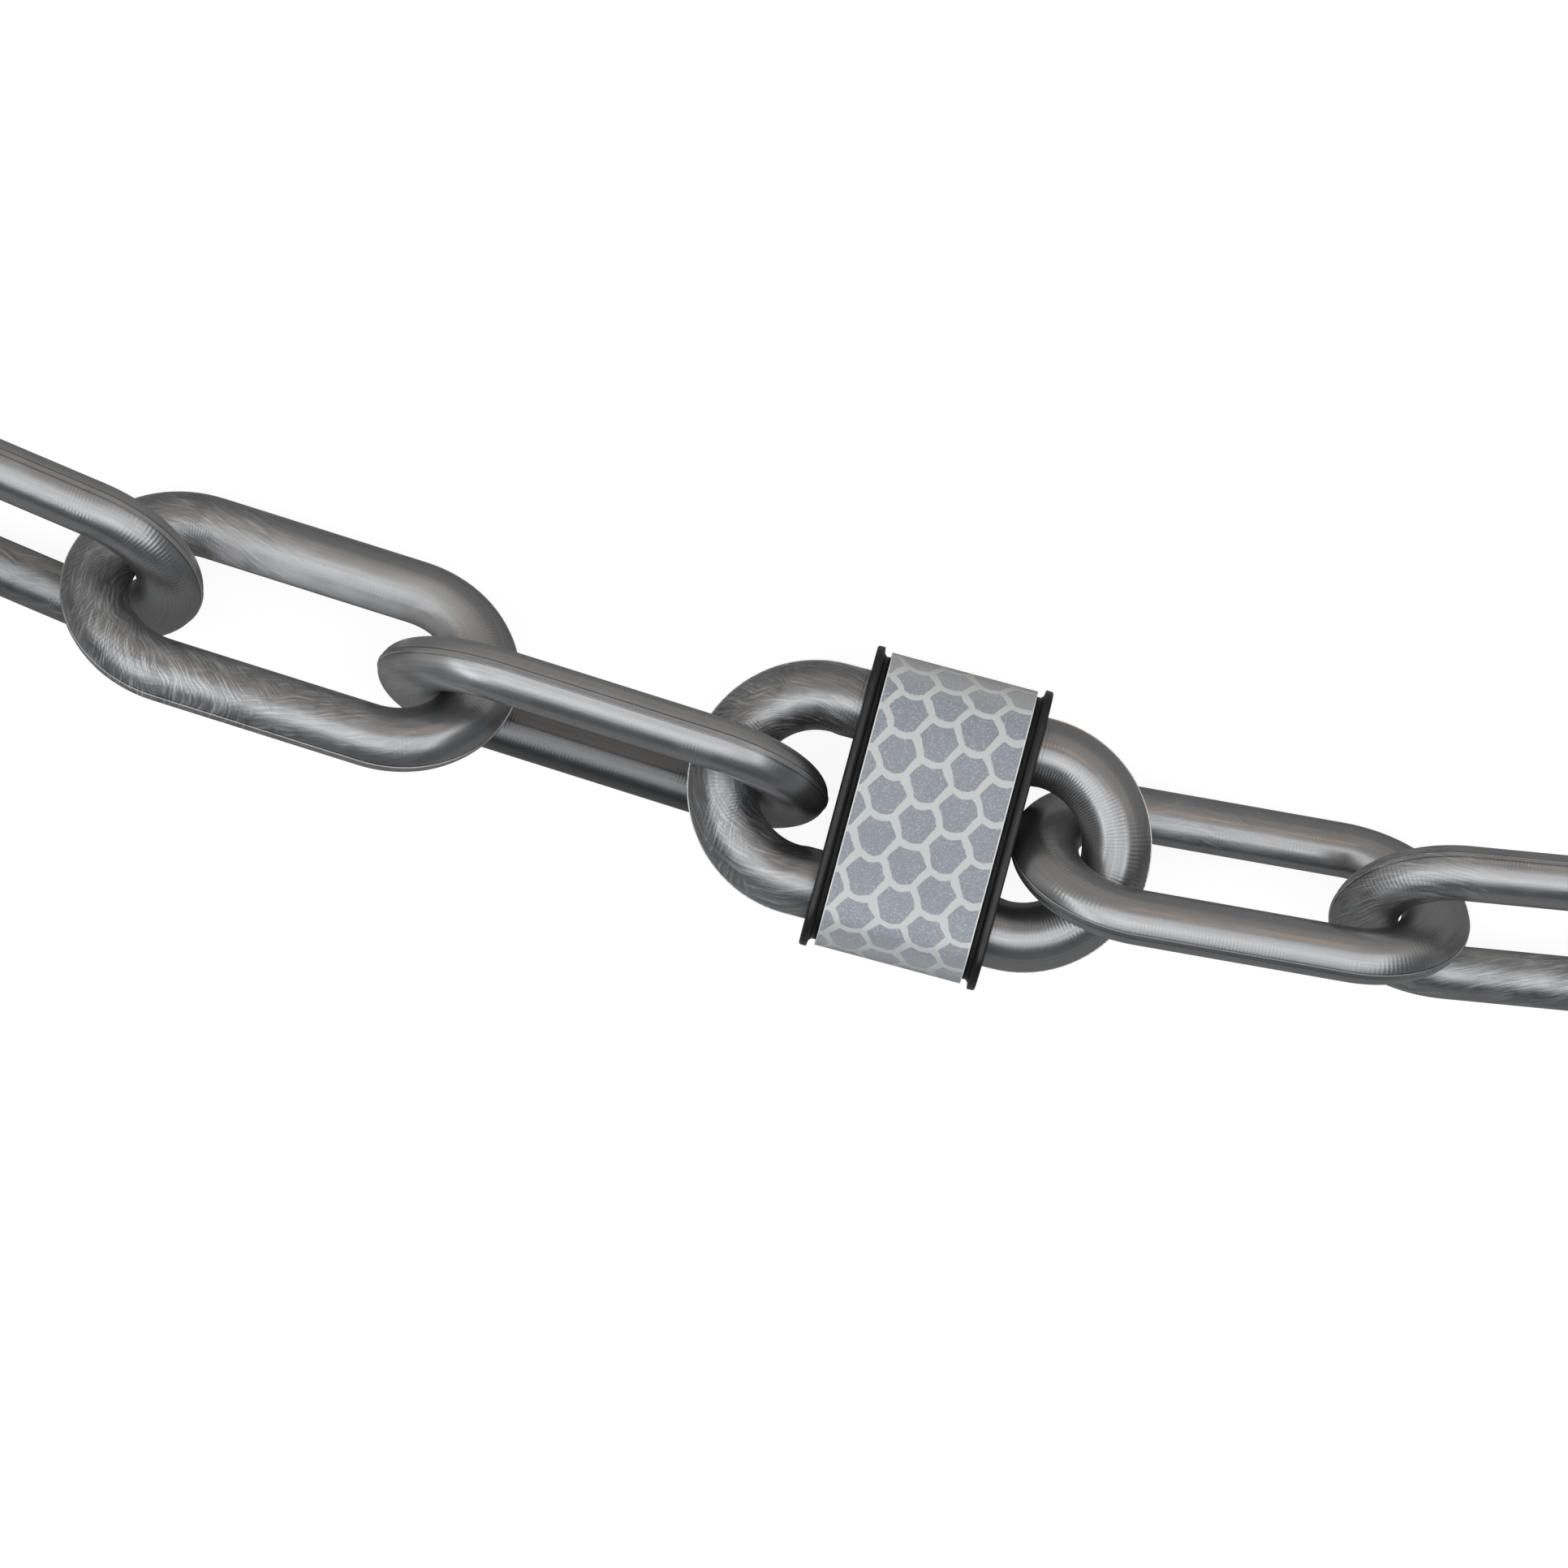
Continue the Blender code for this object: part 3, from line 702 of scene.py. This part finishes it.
def makeBand():
    # spins the strip's cross line round the collar's five arcs, from one side of the seam to the other
    place = linkPlace(collared)[0]
    low, high = extentsIn("reflective_band", place)
    middle, size = (low + high) / 2, high - low
    reach, height, rise = size.x / 2, size.y / 2, size.z / 2
    radius = bandShape["endRadius"]
    seat = height - radius
    face = (seat**2 + rise**2 - radius**2) / (2 * (rise - radius))
    swing = math.asin(seat / (face - radius))
    start = math.asin(bandShape["seam"] / 2 / face)
    back, front = (0, 0, face - rise), (0, 0, rise - face)
    faceFacets, endFacets = bandShape["faceFacets"], bandShape["endFacets"]
    arcs = [
        (back, swing - start, faceFacets // 2),
        ((0, seat, 0), math.pi - 2 * swing, endFacets),
        (front, 2 * swing, faceFacets),
        ((0, -seat, 0), math.pi - 2 * swing, endFacets),
        (back, swing - start, faceFacets // 2),
    ]
    shape = bmesh.new()
    wound = shape.verts.layers.float_vector.new("woundPlace")
    beginning = (face * math.sin(start), face - rise - face * math.cos(start))
    ends = [shape.verts.new((side * reach, *beginning)) for side in (-1, 1)]
    strip = [shape.edges.new(ends)]
    bmesh.ops.subdivide_edges(shape, edges=strip, cuts=bandShape["crossCuts"])
    edges = list(shape.edges)
    for centre, angle, steps in arcs:
        spun = bmesh.ops.spin(shape, geom=edges, cent=centre, axis=(1, 0, 0), angle=angle, steps=steps)
        edges = [item for item in spun["geom_last"] if isinstance(item, bmesh.types.BMEdge)]
    bmesh.ops.remove_doubles(shape, verts=shape.verts, dist=bandShape["joinWithin"])

    # how far each point is from the middle of the front, along the sheet, in millimetres
    endLength = radius * (math.pi - 2 * swing)
    for point in shape.verts:
        x, y, z = point.co
        if abs(y) <= seat + radius * math.sin(swing):
            gone = face * math.atan2(y, face - rise + abs(z))
            if z < 0:
                gone = math.copysign(2 * face * swing + endLength, y) - gone
        else:
            turned = math.pi / 2 - swing - math.atan2(z, abs(y) - seat)
            gone = math.copysign(face * swing + radius * turned, y)
        point[wound] = (x * 1000, gone * 1000, 0)
    bmesh.ops.recalc_face_normals(shape, faces=shape.faces)
    bmesh.ops.solidify(shape, geom=list(shape.faces), thickness=bandShape["thickness"])
    sheet = reflectiveSheet(reach * 1000)
    place = place @ Matrix.Translation(middle)
    finishPiece("reflective_band_sheet", shape, place, sheet,
                "collar", "reflective_band")
    print("reflective band made")


# Floor, light and camera

studio = {
    "floor": 0.22,
    "floorRoughness": 0.9,
    "floorReach": 3,
    "floorDrop": 0.0002,       # below the chain
    "glow": 0.90,              # what the floor adds towards the camera, so that it looks white
    "glossyGlow": 0.10,        # and what reflections see of that
    "upperSide": (0.450, 0.434, 0.410),
    "lowerSide": (0.095, 0.099, 0.107),
    "sideBlend": 0.12,
}

lamps = {
    # name: degrees away from straight above, direction on the ground in degrees, distance,
    # width and length, brightness, colour; each looks at the collared link
    "front": (14, -92, 1.15, (1.80, 1.20), 1.15, (0.98, 0.99, 1.0)),
    "streak": (19, -96, 1.10, (0.70, 0.20), 1.1, (1.0, 1.0, 1.0)),
    "left": (46, 196, 1.10, (0.90, 0.22), 2.6, (0.97, 0.99, 1.0)),
    "right": (43, -14, 1.10, (0.90, 0.14), 2.6, (1.0, 1.0, 1.0)),
    "warm": (42, 60, 1.10, (0.05, 0.04), 22.0, (1.0, 0.55, 0.28)),
}

view = {
    "lens": 200,
    "clip": (0.01, 20),
    "picture": 1932,           # the photograph's width and height in its pixels
    "pixelSize": 0.0000937,
    "linkPixel": (1132.9, 1005.7),  # middle of the collared link in the photograph
}


def makeFloor():
    material, tree, shader = newMaterial("paleFloor")
    shader.inputs["Base Color"].default_value = (studio["floor"],) * 3 + (1,)
    shader.inputs["Roughness"].default_value = studio["floorRoughness"]
    shader.inputs["Specular IOR Level"].default_value = 0.0
    rays = addNode(tree, "ShaderNodeLightPath").outputs
    seen = calc(tree, "MAXIMUM", rays["Is Camera Ray"], rays["Is Transmission Ray"])
    seen = calc(tree, "MULTIPLY", seen, studio["glow"])
    seen = calc(tree, "MULTIPLY_ADD", rays["Is Glossy Ray"], studio["glossyGlow"], seen)
    shader.inputs["Emission Color"].default_value = (1, 1, 1, 1)
    tree.links.new(seen, shader.inputs["Emission Strength"])
    shape = bmesh.new()
    bmesh.ops.create_grid(shape, x_segments=1, y_segments=1, size=studio["floorReach"])
    below = cadLow.z - studio["floorDrop"]
    bmesh.ops.translate(shape, verts=shape.verts, vec=(0, 0, below))
    mesh = bpy.data.meshes.new("floor")
    shape.to_mesh(mesh)
    shape.free()
    mesh.materials.append(material)
    floor = bpy.data.objects.new("floor", mesh)
    bpy.context.scene.collection.objects.link(floor)


def makeWorld():
    # one grey above the chain in the picture, a darker one below it, and white for the camera
    world = bpy.data.worlds.new("studio")
    bpy.context.scene.world = world
    world.use_nodes = True
    tree = world.node_tree
    tree.nodes.clear()
    output = addNode(tree, "ShaderNodeOutputWorld")
    toward = splitVector(tree, addNode(tree, "ShaderNodeTexCoord").outputs["Generated"])
    upper = ramp(tree, toward["Y"], -studio["sideBlend"], studio["sideBlend"])
    colour = blendColours(tree, upper, studio["lowerSide"], studio["upperSide"])
    rays = addNode(tree, "ShaderNodeLightPath")
    colour = blendColours(tree, rays.outputs["Is Camera Ray"], colour, (1, 1, 1))
    background = addNode(tree, "ShaderNodeBackground", {"Color": colour, "Strength": 1.0})
    tree.links.new(background.outputs[0], output.inputs["Surface"])


def makeLamps(target):
    for name, (slope, direction, distance, size, brightness, colour) in lamps.items():
        light = bpy.data.lights.new(name, "AREA")
        light.shape = "RECTANGLE"
        light.size, light.size_y = size
        light.energy = brightness * math.pi * size[0] * size[1]
        light.color = colour
        lamp = bpy.data.objects.new(name, light)
        bpy.context.scene.collection.objects.link(lamp)
        lean, turn = math.radians(slope), math.radians(direction)
        aside = math.sin(lean)
        toward = Vector((aside * math.cos(turn), aside * math.sin(turn), math.cos(lean)))
        lamp.location = target + toward * distance
        lamp.rotation_euler = toward.to_track_quat("Z", "Y").to_euler()


def makeCamera(target):
    # looks straight down, with the collared link at the photograph's own place in the picture
    width = view["picture"] * view["pixelSize"]
    pixelX, pixelY = view["linkPixel"]
    centreX = target.x + (view["picture"] / 2 - pixelX) * view["pixelSize"]
    centreY = target.y - (view["picture"] / 2 - pixelY) * view["pixelSize"]
    data = bpy.data.cameras.new("camera")
    data.lens = view["lens"]
    data.clip_start, data.clip_end = view["clip"]
    camera = bpy.data.objects.new("camera", data)
    bpy.context.scene.collection.objects.link(camera)
    camera.location = (centreX, centreY, target.z + data.lens / data.sensor_width * width)
    bpy.context.scene.camera = camera


def main():
    makeLinks()
    makeShells()
    makeBand()
    target = linkPlace(collared)[0].translation
    makeFloor()
    makeWorld()
    makeLamps(target)
    makeCamera(target)
    bpy.context.scene.view_settings.view_transform = "Standard"
    print("scene ready")


main()
